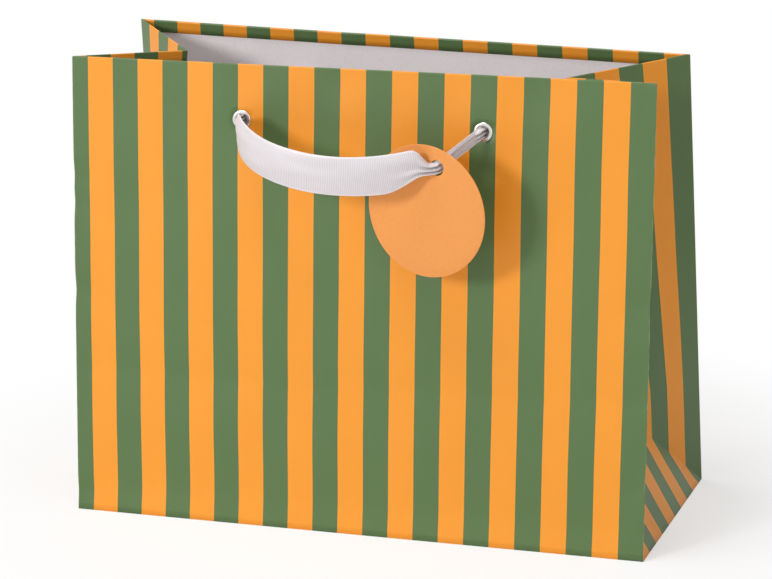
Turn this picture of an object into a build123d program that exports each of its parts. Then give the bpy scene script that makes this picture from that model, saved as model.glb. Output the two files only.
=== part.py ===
from build123d import *
import os
from math import cos, pi, radians, sin, sqrt

os.makedirs("parts", exist_ok=True)

# A landscape paper gift bag that stands open on its flat bottom.
# X runs along the width, the front face looks towards -Y and Z points up.
# The origin is the middle of the bottom, on the surface that the bag stands on.
# All lengths are millimetres and all angles are degrees.

# ---- driving dimensions -------------------------------------------------------------
WIDTH = 280.0  # bag width, left to right
DEPTH = 118.0  # bag depth at the bottom
HEIGHT = 220.0  # height of the paper walls, measured along the paper
SETTLING_STEPS = 30  # rounds after which the gusset's shape no longer changes

PAPER = 0.3  # laminated wrapping paper
GLUE = 0.02  # glue line between two glued layers

# How far the rim of each wall leans in over its bottom edge: (side, face) to millimetres.
LEFT, RIGHT = -1, 1
FRONT, BACK = -1, 1
LEAN = {(LEFT, FRONT): 18.0, (RIGHT, FRONT): 26.0, (LEFT, BACK): 14.0, (RIGHT, BACK): 28.0}

EDGE_GAP = 0.25  # room left at a crease between two facets of the paper
WALL_GAP = 1.2  # the same where a gusset leaf meets its wall at a sharp angle
HEM_END_GAP = 5.0  # the gusset's hem stops short of the card and hem of the wall

HEM = 6.0  # printed paper turned over the rim
RIM_CARD = 0.6  # thickness of the white card under the hem
RIM_CARD_HEIGHT = 45.0
RIM_CARD_SIDE_GAP = 4.0

BASE_CARD = 1.2
BASE_CARD_CORNER = 2.0
BASE_CARD_MARGIN = 1.8  # room round the loose card in the bottom
FLAP_MARGIN = 1.2
LONG_FLAP = 74.0  # the two glued bottom flaps, which overlap in the middle
END_FLAP = 52.0
SEAM_FLAP = 14.0  # glued strip that closes the sheet into a tube
SEAM_RIM_CARD_GAP = 1.0
SEAM_SPANS = 8  # lengths in which the strip follows the wall's twist

EYELET_SPACING = 116.0
EYELET_SHIFT = 2.0  # the pair sits a little to the right of the middle
EYELET_DROP = 26.0  # from the rim to the eyelet's centre
BORE_RADIUS = 2.5
BARREL_RADIUS = 2.9
FLANGE_RADIUS = 4.5
FLANGE = 0.5
WASHER = 0.4
LIP_RADIUS = 3.6
LIP = 0.35
PUNCH_CLEARANCE = 0.05
PUNCH_LENGTH = 12.0
FLANGE_ROUNDING = 0.6  # share of the flange's height

RIBBON_WIDTH = 18.0
RIBBON_THICKNESS = 0.6
BUNCH = 2.2  # side of the ribbon where it is gathered to pass a hole
STANDOFF = 3.4  # from the wall to the line about which the handle swings
LOOP_REACH = 38.0  # how far the handle's loop stands off that line
LOOP_DROP = 27.0  # angle of the loop below level
FLARE = 22.0  # length over which the gathered ribbon spreads to its full width
LOOP_SECTIONS = 25

STUB_RADIUS = 1.8
STUB_REACH = 0.05  # of the stub past the flange
KNOT_RADIUS = 5.0
TAIL_WIDTH = 12.0
TAIL_LENGTH = 16.0

TAG_DIAMETER = 62.0
TAG_CARD = 0.5
TAG_HOLE_RADIUS = 3.6
TAG_HOLE_DROP = 22.0  # from the hole to the tag's centre
TAG_ANGLE = 138.5  # where along the loop the tag hangs, from the left eyelet
TAG_TURN = 14.5  # the tag faces this much to the left of straight ahead
TAG_LEAN = 17.5  # the sloping ribbon holds the tag turned this much in its own plane

UP = Vector(0, 0, 1)


# ---- geometry of the folded sheet ---------------------------------------------------
def bottom_corner(side, face):
    return Vector(side * WIDTH / 2, face * DEPTH / 2, 0)


def top_corner(side, face):
    lean = LEAN[(side, face)]
    return Vector(side * WIDTH / 2, face * (DEPTH / 2 - lean), sqrt(HEIGHT**2 - lean**2))


def knee(side, face):
    """Point on the bag's upright corner at half the depth above the bottom."""
    low, high = bottom_corner(side, face), top_corner(side, face)
    return low + (high - low) * (DEPTH / 2 / HEIGHT)


def apex(side):
    """Top of the triangular foot of a gusset, where its creases meet.

    The foot keeps 45 degree creases to both walls, so the walls' lean sets its tilt.
    """
    sine = (LEAN[(side, FRONT)] + LEAN[(side, BACK)]) / 2 / HEIGHT
    tilt_cosine = (1 - sine) / sqrt(1 - sine**2)
    tilt_sine = sqrt(1 - tilt_cosine**2)
    return Vector(side * (WIDTH / 2 - DEPTH / 2 * tilt_sine), 0, DEPTH / 2 * tilt_cosine)


def rim_middle(side):
    """Top of a gusset's middle crease: the paper keeps its lengths to apex and corners."""
    front, back, low = top_corner(side, FRONT), top_corner(side, BACK), apex(side)
    half_mouth = (back.Y - front.Y) / 2
    rim_height = (front.Z + back.Z) / 2
    foot_inset = WIDTH / 2 - abs(low.X)
    middle_y = (front.Y + back.Y) / 2
    height = rim_height
    for _ in range(SETTLING_STEPS):
        inset = sqrt((DEPTH / 2) ** 2 - half_mouth**2 - (rim_height - height) ** 2)
        height = low.Z + sqrt((HEIGHT - DEPTH / 2) ** 2 - (inset - foot_inset) ** 2 - middle_y**2)
    return Vector(side * (WIDTH / 2 - inset), middle_y, height)


def wall_point(face, x, height):
    """Point on the outside of the front or back wall, height measured along the paper."""
    across = x / WIDTH + 0.5
    low = bottom_corner(LEFT, face) * (1 - across) + bottom_corner(RIGHT, face) * across
    high = top_corner(LEFT, face) * (1 - across) + top_corner(RIGHT, face) * across
    return low + (high - low) * (height / HEIGHT)


def wall_inward(face, x, height):
    """Unit vector from the outside of a wall into the bag."""
    along = wall_point(face, x + 1, height) - wall_point(face, x - 1, height)
    upward = wall_point(face, x, HEIGHT) - wall_point(face, x, 0)
    return (upward.cross(along) * -face).normalized()


# ---- building blocks ----------------------------------------------------------------
def inset(corners, gaps):
    """Move each side of a polygon inwards by its gap; side i starts at corner i."""
    moved = []
    for i, corner in enumerate(corners):
        before = (corners[i - 1] - corner).normalized()
        after = (corners[(i + 1) % len(corners)] - corner).normalized()
        sine = before.cross(after).length
        moved.append(corner + before * (gaps[i] / sine) + after * (gaps[i - 1] / sine))
    return moved


def strip_wire(start, end, inward, thickness):
    """Closed outline of a paper edge seen end on."""
    along = (end - start).normalized()
    through = (inward - along * inward.dot(along)).normalized() * thickness
    return Wire.make_polygon([start, end, end + through, start + through])


def facet(corners, inside, gaps):
    """Flat or slightly twisted facet of paper; corners lie on its outer face."""
    points = inset(corners, gaps)
    normal = (points[1] - points[0]).cross(points[-1] - points[0]).normalized()
    if normal.dot(inside - points[0]) < 0:
        normal = normal * -1
    if len(points) == 3:
        return Solid.extrude(Face(Wire.make_polygon(points)), normal * PAPER)
    near = strip_wire(points[0], points[1], normal, PAPER)
    far = strip_wire(points[3], points[2], normal, PAPER)
    return Solid.make_loft([near, far], ruled=True)


def wall_layer(face, x_range, height_range, depth, thickness):
    """Layer that lies on the inside of a wall, its outer face at a depth in the wall."""
    wires = []
    for height in height_range:
        middle = sum(x_range) / 2
        inward = wall_inward(face, middle, height)
        start, end = (wall_point(face, x, height) + inward * depth for x in x_range)
        wires.append(strip_wire(start, end, inward, thickness))
    return Solid.make_loft(wires, ruled=True)


def eyelet_x(side):
    return EYELET_SHIFT + side * EYELET_SPACING / 2


def eyelet_plane(side, face):
    """Frame on the outside of a wall at an eyelet, its z axis pointing out of the bag."""
    height = HEIGHT - EYELET_DROP
    outward = wall_inward(face, eyelet_x(side), height) * -1
    return Plane(wall_point(face, eyelet_x(side), height), x_dir=Vector(1, 0, 0), z_dir=outward)


def punched(solid, face):
    """Cut both eyelet holes of a wall through one of its layers."""
    for side in (LEFT, RIGHT):
        punch = Cylinder(BARREL_RADIUS + PUNCH_CLEARANCE, PUNCH_LENGTH)
        solid -= eyelet_plane(side, face).location * punch
    return solid


def name_side(side):
    return "left" if side == LEFT else "right"


def name_face(face):
    return "front" if face == FRONT else "back"


def save(name, shape):
    shape.label = name
    export_step(shape, f"parts/{name}.step")


# ---- paper walls --------------------------------------------------------------------
def make_wall(face):
    return punched(wall_layer(face, (-WIDTH / 2, WIDTH / 2), (0, HEIGHT), 0, PAPER), face)


def make_rim_card(face):
    half = WIDTH / 2 - RIM_CARD_SIDE_GAP
    heights = (HEIGHT - RIM_CARD_HEIGHT, HEIGHT - PAPER - GLUE)
    return punched(wall_layer(face, (-half, half), heights, PAPER + GLUE, RIM_CARD), face)


def make_hem(face):
    half = WIDTH / 2 - RIM_CARD_SIDE_GAP
    depth = PAPER + RIM_CARD + 2 * GLUE
    return wall_layer(face, (-half, half), (HEIGHT - HEM, HEIGHT), depth, PAPER)


def gusset_inside(face):
    """A point inside the bag, on the inner side of a gusset's front or back leaf."""
    return Vector(0, face * DEPTH / 4, HEIGHT / 2)


def make_lower_leaf(side, face):
    corners = [bottom_corner(side, face), apex(side), knee(side, face)]
    return facet(corners, gusset_inside(face), [EDGE_GAP, EDGE_GAP, WALL_GAP])


def make_upper_leaf(side, face):
    corners = [knee(side, face), apex(side), rim_middle(side), top_corner(side, face)]
    return facet(corners, gusset_inside(face), [EDGE_GAP, EDGE_GAP, 0, WALL_GAP])


def make_leaf_hem(side, face):
    """Strip of the gusset turned over the rim, glued to the leaf's inside."""
    inside = gusset_inside(face)
    corner, middle = top_corner(side, face), rim_middle(side)
    turn = HEM / (HEIGHT - DEPTH / 2)
    low_corner = corner + (knee(side, face) - corner) * turn
    low_middle = middle + (apex(side) - middle) * turn
    corners = [low_corner, low_middle, middle, corner]
    normal = (corners[1] - corners[0]).cross(corners[3] - corners[0]).normalized()
    if normal.dot(inside - corners[0]) < 0:
        normal = normal * -1
    lifted = [point + normal * (PAPER + GLUE) for point in corners]
    return facet(lifted, inside, [0, EDGE_GAP, 0, HEM_END_GAP])


def make_foot(side):
    """Triangle of the gusset that rises from the bottom edge to the apex."""
    corners = [bottom_corner(side, FRONT), bottom_corner(side, BACK), apex(side)]
    return facet(corners, Vector(0, 0, HEIGHT / 2), [0, EDGE_GAP, EDGE_GAP])


# ---- bottom -------------------------------------------------------------------------
def bottom_sheet(x_range, y_range, low, thickness):
    box = Box(x_range[1] - x_range[0], y_range[1] - y_range[0], thickness)
    return Pos(sum(x_range) / 2, sum(y_range) / 2, low + thickness / 2) * box


def make_long_flap(face, low):
    half_width = WIDTH / 2 - FLAP_MARGIN
    outer = DEPTH / 2 - FLAP_MARGIN / 2
    y_range = sorted((face * outer, face * (outer - LONG_FLAP)))
    return bottom_sheet((-half_width, half_width), y_range, low, PAPER)


def make_end_flap(side, low):
    half_width = WIDTH / 2 - FLAP_MARGIN
    half_depth = DEPTH / 2 - FLAP_MARGIN
    x_range = sorted((side * half_width, side * (half_width - END_FLAP)))
    return bottom_sheet(x_range, (-half_depth, half_depth), low, PAPER)


def make_base_card(low):
    half_width = WIDTH / 2 - BASE_CARD_MARGIN - BASE_CARD
    half_depth = DEPTH / 2 - BASE_CARD_MARGIN
    card = bottom_sheet((-half_width, half_width), (-half_depth, half_depth), low, BASE_CARD)
    return fillet(card.edges().filter_by(Axis.Z), BASE_CARD_CORNER)


def make_seam_flap():
    """Glued strip on the inside of the back wall, beside its left corner."""
    start = -WIDTH / 2 + RIM_CARD_SIDE_GAP
    low, high = RIM_CARD_SIDE_GAP, HEIGHT - RIM_CARD_HEIGHT - SEAM_RIM_CARD_GAP
    heights = [low + (high - low) * i / SEAM_SPANS for i in range(SEAM_SPANS + 1)]
    return wall_layer(BACK, (start, start + SEAM_FLAP), heights, PAPER + GLUE, PAPER)


# ---- eyelets ------------------------------------------------------------------------
def make_eyelet(side, face):
    """Flange outside, barrel through wall and card, and lip rolled over the washer."""
    stack = PAPER + RIM_CARD + 3 * GLUE + WASHER
    flange = Pos(0, 0, GLUE + FLANGE / 2) * Cylinder(FLANGE_RADIUS, FLANGE)
    flange = fillet(flange.edges().group_by(Axis.Z)[-1], FLANGE_ROUNDING * FLANGE)
    barrel = Pos(0, 0, (GLUE - stack - LIP) / 2) * Cylinder(BARREL_RADIUS, GLUE + stack + LIP)
    lip = Pos(0, 0, -stack - LIP / 2) * Cylinder(LIP_RADIUS, LIP)
    body = flange + barrel + lip - Cylinder(BORE_RADIUS, PUNCH_LENGTH)
    return eyelet_plane(side, face).location * body


def make_washer(side, face):
    depth = PAPER + RIM_CARD + 2 * GLUE
    ring = Cylinder(FLANGE_RADIUS, WASHER) - Cylinder(BARREL_RADIUS + PUNCH_CLEARANCE, 10)
    return eyelet_plane(side, face).location * (Pos(0, 0, -depth - WASHER / 2) * ring)


# ---- ribbons ------------------------------------------------------------------------
def pivot(side, face):
    """Point just outside an eyelet about which the handle's end turns."""
    plane = eyelet_plane(side, face)
    return plane.origin + plane.z_dir * STANDOFF


def loop_frame(face):
    """Middle of the pivots, unit vector along them and unit vector to the loop's crown."""
    left, right = pivot(LEFT, face), pivot(RIGHT, face)
    along = (right - left).normalized()
    drop = radians(LOOP_DROP)
    crown = Vector(0, face * cos(drop), -sin(drop))
    crown = (crown - along * crown.dot(along)).normalized()
    return (left + right) / 2, along, crown


def loop_point(face, angle):
    """Half an ellipse from the left pivot, at 0, to the right pivot, at 180 degrees."""
    middle, along, crown = loop_frame(face)
    half_span = (pivot(RIGHT, face) - pivot(LEFT, face)).length / 2
    turn = radians(angle)
    return middle - along * (half_span * cos(turn)) + crown * (LOOP_REACH * sin(turn))


def loop_tangent(face, angle):
    return (loop_point(face, angle + 0.5) - loop_point(face, angle - 0.5)).normalized()


def ribbon_spread(face, angle):
    """Share of its full width that the ribbon has: it is gathered at every hole."""
    here = loop_point(face, angle)
    holes = [pivot(LEFT, face), pivot(RIGHT, face)]
    if face == FRONT:
        holes.append(loop_point(FRONT, TAG_ANGLE))
    reach = min(min((here - hole).length for hole in holes) / FLARE, 1)
    return sin(reach * pi / 2) ** 2


def make_handle(face):
    """Flat ribbon, on edge, gathered at both eyelets and where the tag hangs."""
    angles = [180 * i / (LOOP_SECTIONS - 1) for i in range(LOOP_SECTIONS)]
    if face == FRONT:
        nearest = min(angles, key=lambda angle: abs(angle - TAG_ANGLE))
        angles[angles.index(nearest)] = TAG_ANGLE
    wires = []
    for angle in angles:
        centre, tangent = loop_point(face, angle), loop_tangent(face, angle)
        spread = ribbon_spread(face, angle)
        width = BUNCH + (RIBBON_WIDTH - BUNCH) * spread
        thickness = BUNCH + (RIBBON_THICKNESS - BUNCH) * min(1, 2 * spread)
        upward = (UP - tangent * UP.dot(tangent)).normalized() * (width / 2)
        through = tangent.cross(upward).normalized() * (thickness / 2)
        outline = [
            centre + upward + through,
            centre + upward - through,
            centre - upward - through,
            centre - upward + through,
        ]
        wires.append(Wire.make_polygon(outline))
    return Solid.make_loft(wires, ruled=True)


def make_knot(side, face):
    """Knot inside the wall with the ribbon's stub through the eyelet and its loose tail."""
    stack = PAPER + RIM_CARD + 3 * GLUE + WASHER + LIP
    centre = -stack - KNOT_RADIUS
    outer = FLANGE + STUB_REACH
    stub = Pos(0, 0, (outer + centre) / 2) * Cylinder(STUB_RADIUS, outer - centre)
    knot = Pos(0, 0, centre) * Sphere(KNOT_RADIUS)
    body = eyelet_plane(side, face).location * (stub + knot)
    heart = eyelet_plane(side, face).origin - eyelet_plane(side, face).z_dir * (-centre)
    tail = Box(TAIL_WIDTH, 2 * RIBBON_THICKNESS, TAIL_LENGTH)
    return body + Pos(heart - UP * (TAIL_LENGTH / 2)) * tail


# ---- gift tag -----------------------------------------------------------------------
def make_tag():
    """Round card that hangs upright from the ribbon by a hole near its top."""
    hole = loop_point(FRONT, TAG_ANGLE)
    outward = Vector(-sin(radians(TAG_TURN)), -cos(radians(TAG_TURN)), 0)
    level = UP.cross(outward)
    toward_hole = UP * cos(radians(TAG_LEAN)) + level * sin(radians(TAG_LEAN))
    centre = hole - toward_hole * TAG_HOLE_DROP
    disc = Cylinder(TAG_DIAMETER / 2, TAG_CARD)
    disc -= Pos(0, TAG_HOLE_DROP, 0) * Cylinder(TAG_HOLE_RADIUS, 4 * TAG_CARD)
    across = toward_hole.cross(outward)
    return Plane(centre, x_dir=across, z_dir=outward).location * disc


# ---- the bag, one file for each piece -----------------------------------------------
for face in (FRONT, BACK):
    where = name_face(face)
    save(f"{where}_wall", make_wall(face))
    save(f"{where}_rim_card", make_rim_card(face))
    save(f"{where}_rim_hem", make_hem(face))
    save(f"{where}_ribbon_handle", make_handle(face))
    for side in (LEFT, RIGHT):
        hand = name_side(side)
        save(f"{hand}_gusset_{where}_upper_leaf", make_upper_leaf(side, face))
        save(f"{hand}_gusset_{where}_lower_leaf", make_lower_leaf(side, face))
        save(f"{hand}_gusset_{where}_hem", make_leaf_hem(side, face))
        save(f"{where}_{hand}_eyelet", make_eyelet(side, face))
        save(f"{where}_{hand}_eyelet_washer", make_washer(side, face))
        save(f"{where}_{hand}_ribbon_knot", make_knot(side, face))

for side in (LEFT, RIGHT):
    hand = name_side(side)
    save(f"{hand}_gusset_foot", make_foot(side))
    save(f"{hand}_bottom_end_flap", make_end_flap(side, 2 * PAPER))

save("bottom_outer_flap", make_long_flap(FRONT, 0))
save("bottom_inner_flap", make_long_flap(BACK, PAPER))
save("back_seam_flap", make_seam_flap())
save("base_card", make_base_card(3 * PAPER))
save("gift_tag", make_tag())

# Axes that the moving pieces turn about, for whoever joins them.
for face in (FRONT, BACK):
    middle, along, _ = loop_frame(face)
    print(name_face(face), "handle pivot", tuple(middle), "axis", tuple(along))
print("tag hole", tuple(loop_point(FRONT, TAG_ANGLE)), "axis", tuple(loop_tangent(FRONT, TAG_ANGLE)))
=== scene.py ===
"""Landscape striped paper gift bag with ribbon handles, eyelets and a round hanging tag."""

import logging
import math
from collections.abc import Callable
from dataclasses import dataclass, field
from enum import Enum

import bmesh
import bpy
from mathutils import Matrix, Vector, noise


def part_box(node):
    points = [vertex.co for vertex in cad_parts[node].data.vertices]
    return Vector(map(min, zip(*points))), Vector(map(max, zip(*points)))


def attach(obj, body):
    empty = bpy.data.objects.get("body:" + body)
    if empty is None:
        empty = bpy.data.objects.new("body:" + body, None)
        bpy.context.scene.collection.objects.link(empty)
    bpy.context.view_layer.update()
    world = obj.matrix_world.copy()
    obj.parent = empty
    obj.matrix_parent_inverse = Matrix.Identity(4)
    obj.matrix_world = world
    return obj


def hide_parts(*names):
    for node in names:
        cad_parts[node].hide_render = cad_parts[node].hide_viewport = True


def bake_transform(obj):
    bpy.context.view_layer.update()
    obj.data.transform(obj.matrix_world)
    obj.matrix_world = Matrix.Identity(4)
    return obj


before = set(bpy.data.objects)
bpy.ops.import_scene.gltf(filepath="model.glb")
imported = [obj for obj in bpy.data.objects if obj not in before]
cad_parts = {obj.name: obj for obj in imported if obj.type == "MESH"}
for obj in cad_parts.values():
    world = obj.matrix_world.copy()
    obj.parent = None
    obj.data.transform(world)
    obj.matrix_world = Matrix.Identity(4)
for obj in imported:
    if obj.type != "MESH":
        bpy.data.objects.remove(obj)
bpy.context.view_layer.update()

logging.basicConfig(level=logging.INFO, format="%(message)s")
LOG = logging.getLogger("gift_bag")

UP = Vector((0.0, 0.0, 1.0))
MM = 0.001

Colour = tuple[float, float, float]


class Side(Enum):
    """Left or right end of the bag, seen from the front."""

    LEFT = -1
    RIGHT = 1


class Face(Enum):
    """Front or back wall of the bag."""

    FRONT = -1
    BACK = 1


def label(choice: Side | Face) -> str:
    """Return the lower-case word that piece names use."""
    return choice.name.lower()


def srgb(red: float, green: float, blue: float) -> Colour:
    """Turn a colour written as 0 to 255 screen values into linear light.

    Args:
        red: Red screen value.
        green: Green screen value.
        blue: Blue screen value.

    Returns:
        The linear colour.
    """
    shares = (red / 255, green / 255, blue / 255)
    return tuple(c / 12.92 if c <= 0.04045 else ((c + 0.055) / 1.055) ** 2.4 for c in shares)


def smooth(value: float) -> float:
    """Ease a value from 0 to 1 with level ends, clamping what lies outside."""
    share = min(max(value, 0.0), 1.0)
    return share * share * (3 - 2 * share)


# ---- finishes ------------------------------------------------------------------------
class Graph:
    """A material's node tree with short calls for adding and joining nodes."""

    def __init__(self, name: str) -> None:
        """Start an empty material.

        Args:
            name: Name of the material.
        """
        self.material = bpy.data.materials.new(name)
        self.material.use_nodes = True
        self.tree = self.material.node_tree
        self.tree.nodes.clear()
        self.output = self.tree.nodes.new("ShaderNodeOutputMaterial")

    def add(self, kind: str, inputs: dict | None = None, **settings: object) -> bpy.types.Node:
        """Add a node.

        Args:
            kind: Node type without its ShaderNode prefix.
            inputs: Socket name or index to a value or to another node's output.
            **settings: Attributes of the node itself.

        Returns:
            The new node.
        """
        node = self.tree.nodes.new("ShaderNode" + kind)
        for key, value in settings.items():
            setattr(node, key, value)
        for key, value in (inputs or {}).items():
            if isinstance(value, bpy.types.NodeSocket):
                self.tree.links.new(value, node.inputs[key])
            else:
                node.inputs[key].default_value = value
        return node

    def math(self, operation: str, *values: object) -> bpy.types.NodeSocket:
        """Add a Math node and return its result.

        Args:
            operation: Name of the Math operation.
            *values: Numbers or sockets for its inputs.

        Returns:
            The result socket.
        """
        return self.add("Math", dict(enumerate(values)), operation=operation).outputs[0]

    def noise(self, vector: bpy.types.NodeSocket, scale: float, detail: float = 3.0) -> bpy.types.NodeSocket:
        """Add a noise texture and return its value.

        Args:
            vector: Coordinates, in metres.
            scale: Noise features in a metre.
            detail: Octaves.

        Returns:
            The noise value, about 0.5 on average.
        """
        node = self.add("TexNoise", {"Vector": vector, "Scale": scale, "Detail": detail})
        return node.outputs["Fac"]

    def spread(self, value: bpy.types.NodeSocket, low: float, high: float) -> bpy.types.NodeSocket:
        """Map a 0 to 1 value to a range.

        Args:
            value: Socket that holds the value.
            low: Result at 0.
            high: Result at 1.

        Returns:
            The mapped socket.
        """
        return self.add("MapRange", {"Value": value, "To Min": low, "To Max": high}).outputs[0]

    def mix(self, share: object, first: object, second: object, blend: str = "MIX") -> bpy.types.NodeSocket:
        """Mix two colours.

        Args:
            share: Number or socket, 0 for the first colour and 1 for the second.
            first: Colour or socket.
            second: Colour or socket.
            blend: Blend type.

        Returns:
            The mixed colour socket.
        """
        node = self.add("Mix", data_type="RGBA", blend_type=blend)
        sockets = [s for s in node.inputs if s.enabled]
        for socket, value in zip(sockets, (share, first, second)):
            if isinstance(value, bpy.types.NodeSocket):
                self.tree.links.new(value, socket)
            elif isinstance(value, tuple):
                socket.default_value = (*value, 1.0)
            else:
                socket.default_value = value
        return next(s for s in node.outputs if s.enabled)

    def bump(
        self,
        height: bpy.types.NodeSocket,
        distance: float,
        strength: float = 1.0,
    ) -> bpy.types.NodeSocket:
        """Add a Bump node.

        Args:
            height: Height from 0 to 1.
            distance: Real height of 1, in metres.
            strength: Strength of the effect.

        Returns:
            The normal socket.
        """
        inputs = {"Height": height, "Distance": distance, "Strength": strength}
        return self.add("Bump", inputs).outputs["Normal"]

    def surface(self, inputs: dict) -> bpy.types.Material:
        """Finish the material with a Principled shader.

        Args:
            inputs: Socket values and links of the shader.

        Returns:
            The finished material.
        """
        shader = self.add("BsdfPrincipled", inputs)
        self.tree.links.new(shader.outputs[0], self.output.inputs["Surface"])
        return self.material


@dataclass(frozen=True)
class StripedPrint:
    """Two-colour stripes printed on laminated paper, running up the sheet.

    The pattern reads the sheet's own UV map, which holds metres of the printed roll, so that
    a stripe runs on over every fold. A second map holds the place on the folded sheet.
    """

    name: str = "striped_paper"
    orange: Colour = srgb(238, 151, 36)
    green: Colour = srgb(83, 110, 64)
    worn: Colour = srgb(222, 206, 170)
    stripe: float = 12.39 * MM
    first_edge: float = 7.9 * MM
    edge_blur: float = 0.12 * MM
    fold_wear: float = 0.45 * MM
    roughness: float = 0.46

    def build(self, folds: tuple[float, ...]) -> bpy.types.Material:
        """Build the material.

        Args:
            folds: Places of the upright folds on the flat sheet.

        Returns:
            The printed paper material.
        """
        graph = Graph(self.name)
        where = graph.add("UVMap", uv_map="UVMap").outputs[0]
        print_colour = self._stripes(graph, graph.add("SeparateXYZ", {0: where}).outputs[0])
        on_sheet = graph.add("UVMap", uv_map="FoldMap").outputs[0]
        across = graph.add("SeparateXYZ", {0: on_sheet}).outputs[0]
        mottle = graph.noise(where, 60.0, 4.0)
        tone = graph.spread(mottle, 0.975, 1.02)
        tinted = graph.mix(1.0, print_colour, self._grey(graph, tone), "MULTIPLY")
        worn = graph.mix(self._wear(graph, across, where, folds), tinted, self.worn)
        fibres = graph.noise(where, 1400.0, 2.0)
        cockle = graph.noise(where, 90.0, 2.0)
        height = graph.math("ADD", graph.math("MULTIPLY", fibres, 0.10), cockle)
        gloss = graph.spread(graph.noise(where, 35.0), self.roughness - 0.05, self.roughness + 0.05)
        return graph.surface({
            "Base Color": worn,
            "Roughness": gloss,
            "Specular IOR Level": 0.42,
            "Normal": graph.bump(height, 0.06 * MM, 0.5),
        })

    def _stripes(self, graph: Graph, across: bpy.types.NodeSocket) -> bpy.types.NodeSocket:
        """Return the colour of the stripes along the sheet."""
        pair = 2 * self.stripe
        shifted = graph.math("SUBTRACT", across, self.first_edge)
        along_pair = graph.math("FLOORED_MODULO", shifted, pair)
        from_middle = graph.math("ABSOLUTE", graph.math("SUBTRACT", along_pair, self.stripe / 2))
        wrapped = graph.math("MINIMUM", from_middle, graph.math("SUBTRACT", pair, from_middle))
        half = self.stripe / 2
        limits = {"Value": wrapped, "From Min": half - self.edge_blur, "From Max": half + self.edge_blur}
        share = graph.add("MapRange", limits, interpolation_type="SMOOTHSTEP").outputs[0]
        return graph.mix(share, self.orange, self.green)

    def _wear(
        self,
        graph: Graph,
        across: bpy.types.NodeSocket,
        where: bpy.types.NodeSocket,
        folds: tuple[float, ...],
    ) -> bpy.types.NodeSocket:
        """Return how far the print is rubbed pale, broken up along each fold."""
        nearest = graph.math("ABSOLUTE", graph.math("SUBTRACT", across, folds[0]))
        for fold in folds[1:]:
            distance = graph.math("ABSOLUTE", graph.math("SUBTRACT", across, fold))
            nearest = graph.math("MINIMUM", nearest, distance)
        limits = {"Value": nearest, "From Max": self.fold_wear, "To Min": 1.0, "To Max": 0.0}
        line = graph.add("MapRange", limits).outputs[0]
        patches = graph.math("SUBTRACT", graph.noise(where, 160.0, 4.0), 0.42)
        return graph.math("MULTIPLY", line, graph.math("MULTIPLY", patches, 1.3))

    @staticmethod
    def _grey(graph: Graph, value: bpy.types.NodeSocket) -> bpy.types.NodeSocket:
        """Return a grey of the given brightness."""
        return graph.add("CombineColor", {0: value, 1: value, 2: value}).outputs[0]


@dataclass(frozen=True)
class PlainStock:
    """Uncoated paper, card or board of one colour with visible fibres."""

    name: str
    colour: Colour
    fleck: Colour
    fleck_share: float = 0.25
    roughness: float = 0.75
    relief: float = 0.05 * MM

    def build(self) -> bpy.types.Material:
        """Build the material and return it."""
        graph = Graph(self.name)
        where = graph.add("TexCoord").outputs["Object"]
        fibres = graph.noise(where, 700.0, 4.0)
        cloud = graph.noise(where, 45.0, 3.0)
        limits = {"Value": fibres, "From Min": 0.45, "From Max": 0.8, "To Max": self.fleck_share}
        share = graph.add("MapRange", limits).outputs[0]
        flecked = graph.mix(share, self.colour, self.fleck)
        shade = graph.spread(cloud, 0.97, 1.02)
        grey = graph.add("CombineColor", {0: shade, 1: shade, 2: shade}).outputs[0]
        return graph.surface({
            "Base Color": graph.mix(1.0, flecked, grey, "MULTIPLY"),
            "Roughness": graph.spread(cloud, self.roughness - 0.06, self.roughness + 0.06),
            "Specular IOR Level": 0.3,
            "Normal": graph.bump(graph.noise(where, 1800.0, 3.0), self.relief, 0.6),
        })


@dataclass(frozen=True)
class RibbedRibbon:
    """Satin ribbon with fine ribs across it, painted shade in the valleys between the ribs, and a smooth
    selvedge along both edges.
    """

    name: str = "ribbed_ribbon"
    colour: Colour = srgb(226, 220, 223)
    # Colour of the painted shade in the valleys between the ribs.
    painted_valley_shade: Colour = srgb(188, 180, 186)
    rib: float = 0.85 * MM
    width: float = 18.0 * MM
    selvedge: float = 0.9 * MM

    def build(self) -> bpy.types.Material:
        """Build the material and return it."""
        graph = Graph(self.name)
        where = graph.add("UVMap", uv_map="UVMap").outputs[0]
        parts = graph.add("SeparateXYZ", {0: where}).outputs
        weave = graph.noise(where, 900.0, 2.0)
        uneven = graph.math("MULTIPLY", graph.math("SUBTRACT", graph.noise(where, 120.0), 0.5), 0.9)
        turns = graph.math("ADD", graph.math("MULTIPLY", parts[0], 2 * math.pi / self.rib), uneven)
        raised = graph.add("MapRange", {"Value": graph.math("SINE", turns), "From Min": -1.0}).outputs[0]
        edge = graph.math("SUBTRACT", self.width / 2, graph.math("ABSOLUTE", parts[1]))
        inner = graph.math("GREATER_THAN", edge, self.selvedge)
        ribs = graph.math("MULTIPLY", raised, inner)
        height = graph.math("ADD", ribs, graph.math("MULTIPLY", weave, 0.25))
        # The valleys between the ribs are painted darker: painted shade in the grooves, on top of the rib
        # bump.
        share = graph.math("MULTIPLY", graph.math("SUBTRACT", 1.0, raised), 0.6)
        colour = graph.mix(graph.math("MULTIPLY", share, inner), self.colour, self.painted_valley_shade)
        return graph.surface({
            "Base Color": colour,
            "Roughness": graph.spread(weave, 0.34, 0.5),
            "Specular IOR Level": 0.55,
            "Sheen Weight": 0.35,
            "Sheen Roughness": 0.4,
            "Anisotropic": 0.45,
            "Normal": graph.bump(height, 0.09 * MM, 0.85),
        })


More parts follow.
